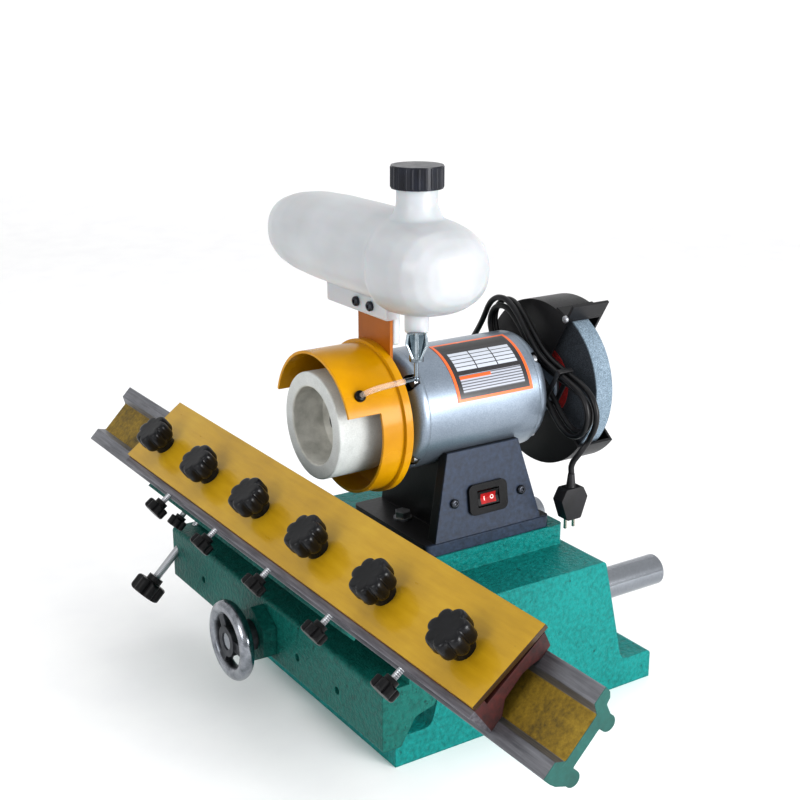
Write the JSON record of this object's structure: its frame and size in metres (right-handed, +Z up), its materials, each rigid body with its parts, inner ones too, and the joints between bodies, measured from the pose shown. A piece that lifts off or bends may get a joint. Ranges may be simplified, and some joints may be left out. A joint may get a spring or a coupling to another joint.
{
  "type": "planer knife grinder",
  "caption": "Planer knife grinder: bench grinder with cup wheel and water tank on a cast base, with a tilting, sliding knife table on a handwheel cross feed.",
  "frame": {"origin": "on the ground, at the centre of the four foot bolts of the base", "axes": "+X along the spindle from the cup wheel to the second wheel, +Y along the knife table, +Z up"},
  "size_m": [0.4582, 0.746, 0.5015],
  "materials": {
    "base_green": "gloss paint over a cast skin",
    "beam_green": "gloss paint over a cast skin",
    "bronze": "turned",
    "stand_paint": "satin paint",
    "motor_paint": "silver paint",
    "fastener": "zinc plated",
    "switch_black": "moulded",
    "rocker_red": "moulded",
    "windings": "laminated core and varnished wire",
    "ground_steel": "ground",
    "guard_orange": "gloss paint",
    "guard_black": "satin paint",
    "tank_white": "blow moulded",
    "cap_black": "moulded",
    "chrome": "polished",
    "hose_clear": "clear vinyl",
    "cord_black": "sheathed",
    "abrasive_white": "bonded grit",
    "abrasive_grey": "bonded grit",
    "blotter_red": "paper",
    "machined_iron": "machined faces, painted channel",
    "bed_red": "primer",
    "plate_mustard": "aged protective coat",
    "knob_black": "moulded"
  },
  "bodies": {
    "frame": {"base_casting": "base_green", "bar_bushes": "bronze", "feed_nut": "bronze", "motor_stand": "stand_paint", "stand_bolts": "fastener", "switch_bezel": "switch_black", "motor_barrel": "motor_paint", "end_bell_left": "motor_paint", "end_bell_right": "motor_paint", "stator": "windings", "motor_bearings": "ground_steel", "tie_bolts": "fastener", "cup_guard": "guard_orange", "tank_bracket": "guard_orange", "water_tank": "tank_white", "drain_valve": "chrome", "coolant_hose": "hose_clear", "wheel_guard": "guard_black", "guard_cover": "guard_black", "spark_arrester": "guard_black", "cord_gland": "switch_black", "cord_lead": "cord_black", "cord_hank": "cord_black", "cord_tail": "cord_black", "cord_tie": "switch_black", "power_plug": "cord_black"},
    "spindle": {"spindle_shaft": "ground_steel", "rotor_core": "windings", "cup_wheel": "abrasive_white", "grinding_wheel": "abrasive_grey", "wheel_flanges": "ground_steel", "wheel_blotters": "blotter_red", "spindle_nuts": "fastener"},
    "saddle": {"cross_beam": "beam_green", "guide_bars": "ground_steel", "screw_boss": "beam_green"},
    "feed_drive": {"feed_screw": "ground_steel", "handwheel": "chrome"},
    "tilt_lock": {"tilt_lock": "knob_black"},
    "swivel": {"swivel": "beam_green", "tilt_shaft": "ground_steel"},
    "table_lock": {"table_lock": "knob_black"},
    "table": {"knife_table": "machined_iron", "clamp_studs": "ground_steel", "knife_bed": "bed_red"},
    "clamp": {"clamp_plate": "plate_mustard"},
    "rocker": {"switch_rocker": "rocker_red"},
    "cap": {"tank_cap": "cap_black"},
    "wing": {"valve_wing": "chrome"},
    "star_knob_1": {"star_knob_1": "knob_black"},
    "star_knob_2": {"star_knob_2": "knob_black"},
    "star_knob_3": {"star_knob_3": "knob_black"},
    "star_knob_4": {"star_knob_4": "knob_black"},
    "star_knob_5": {"star_knob_5": "knob_black"},
    "star_knob_6": {"star_knob_6": "knob_black"},
    "adjuster_1": {"adjuster_1": "knob_black"},
    "adjuster_2": {"adjuster_2": "knob_black"},
    "adjuster_3": {"adjuster_3": "knob_black"},
    "adjuster_4": {"adjuster_4": "knob_black"},
    "adjuster_5": {"adjuster_5": "knob_black"}
  },
  "joints": [
    {"name": "spindle_spin", "type": "hinge", "parent": "frame", "child": "spindle", "pos_m": [0, -0.02, 0.275], "axis": [1, 0, 0], "continuous": true},
    {"name": "cross_feed", "type": "slide", "parent": "frame", "child": "saddle", "axis": [1, 0, 0], "range_m": [-0.035, 0.02]},
    {"name": "handwheel_turn", "type": "hinge", "parent": "saddle", "child": "feed_drive", "pos_m": [0, 0, 0.084], "axis": [1, 0, 0], "range_deg": [-3160, 1990]},
    {"name": "tilt_lock_turn", "type": "hinge", "parent": "saddle", "child": "tilt_lock", "pos_m": [-0.157, 0.19, 0.129], "axis": [0.7071, 0, 0.7071], "range_deg": [-720, 90]},
    {"name": "table_tilt", "type": "hinge", "parent": "saddle", "child": "swivel", "pos_m": [-0.157, 0, 0.129], "axis": [0, 1, 0], "range_deg": [-15, 5]},
    {"name": "table_lock_turn", "type": "hinge", "parent": "swivel", "child": "table_lock", "pos_m": [-0.21853, 0.106, 0.16906], "axis": [0.6947, 0, 0.7193], "range_deg": [-720, 90]},
    {"name": "table_slide", "type": "slide", "parent": "swivel", "child": "table", "axis": [0, 1, 0], "range_m": [-0.2, 0.4]},
    {"name": "clamp_lift", "type": "slide", "parent": "table", "child": "clamp", "axis": [-0.5948, 0, 0.8039], "range_m": [0, 0.004]},
    {"name": "rocker_tip", "type": "hinge", "parent": "frame", "child": "rocker", "pos_m": [-0.007, -0.07283, 0.19656], "axis": [1, 0, 0], "range_deg": [-8, 8]},
    {"name": "cap_turn", "type": "hinge", "parent": "frame", "child": "cap", "pos_m": [-0.097, -0.096, 0.49], "axis": [0, 0, 1], "range_deg": [0, 720]},
    {"name": "valve_turn", "type": "hinge", "parent": "frame", "child": "wing", "pos_m": [-0.097, -0.096, 0.357], "axis": [-0.5446, -0.8387, 0], "range_deg": [0, 90]},
    {"name": "star_knob_1_turn", "type": "hinge", "parent": "clamp", "child": "star_knob_1", "pos_m": [-0.22374, -0.341, 0.22555], "axis": [-0.5948, 0, 0.8039], "range_deg": [0, 1080]},
    {"name": "star_knob_2_turn", "type": "hinge", "parent": "clamp", "child": "star_knob_2", "pos_m": [-0.22374, -0.246, 0.22555], "axis": [-0.5948, 0, 0.8039], "range_deg": [0, 1080]},
    {"name": "star_knob_3_turn", "type": "hinge", "parent": "clamp", "child": "star_knob_3", "pos_m": [-0.22374, -0.151, 0.22555], "axis": [-0.5948, 0, 0.8039], "range_deg": [0, 1080]},
    {"name": "star_knob_4_turn", "type": "hinge", "parent": "clamp", "child": "star_knob_4", "pos_m": [-0.22374, -0.056, 0.22555], "axis": [-0.5948, 0, 0.8039], "range_deg": [0, 1080]},
    {"name": "star_knob_5_turn", "type": "hinge", "parent": "clamp", "child": "star_knob_5", "pos_m": [-0.22374, 0.039, 0.22555], "axis": [-0.5948, 0, 0.8039], "range_deg": [0, 1080]},
    {"name": "star_knob_6_turn", "type": "hinge", "parent": "clamp", "child": "star_knob_6", "pos_m": [-0.22374, 0.134, 0.22555], "axis": [-0.5948, 0, 0.8039], "range_deg": [0, 1080]},
    {"name": "adjuster_1_turn", "type": "hinge", "parent": "table", "child": "adjuster_1", "pos_m": [-0.24292, -0.3015, 0.20103], "axis": [0.8039, 0, 0.5948], "range_deg": [-720, 720]},
    {"name": "adjuster_2_turn", "type": "hinge", "parent": "table", "child": "adjuster_2", "pos_m": [-0.24292, -0.2065, 0.20103], "axis": [0.8039, 0, 0.5948], "range_deg": [-720, 720]},
    {"name": "adjuster_3_turn", "type": "hinge", "parent": "table", "child": "adjuster_3", "pos_m": [-0.24292, -0.1115, 0.20103], "axis": [0.8039, 0, 0.5948], "range_deg": [-720, 720]},
    {"name": "adjuster_4_turn", "type": "hinge", "parent": "table", "child": "adjuster_4", "pos_m": [-0.24292, -0.0165, 0.20103], "axis": [0.8039, 0, 0.5948], "range_deg": [-720, 720]},
    {"name": "adjuster_5_turn", "type": "hinge", "parent": "table", "child": "adjuster_5", "pos_m": [-0.24292, 0.0785, 0.20103], "axis": [0.8039, 0, 0.5948], "range_deg": [-720, 720]}
  ],
  "couplings": [
    {"joint": "handwheel_turn", "follows": "cross_feed", "rad_per_m": 1570.8}
  ]
}
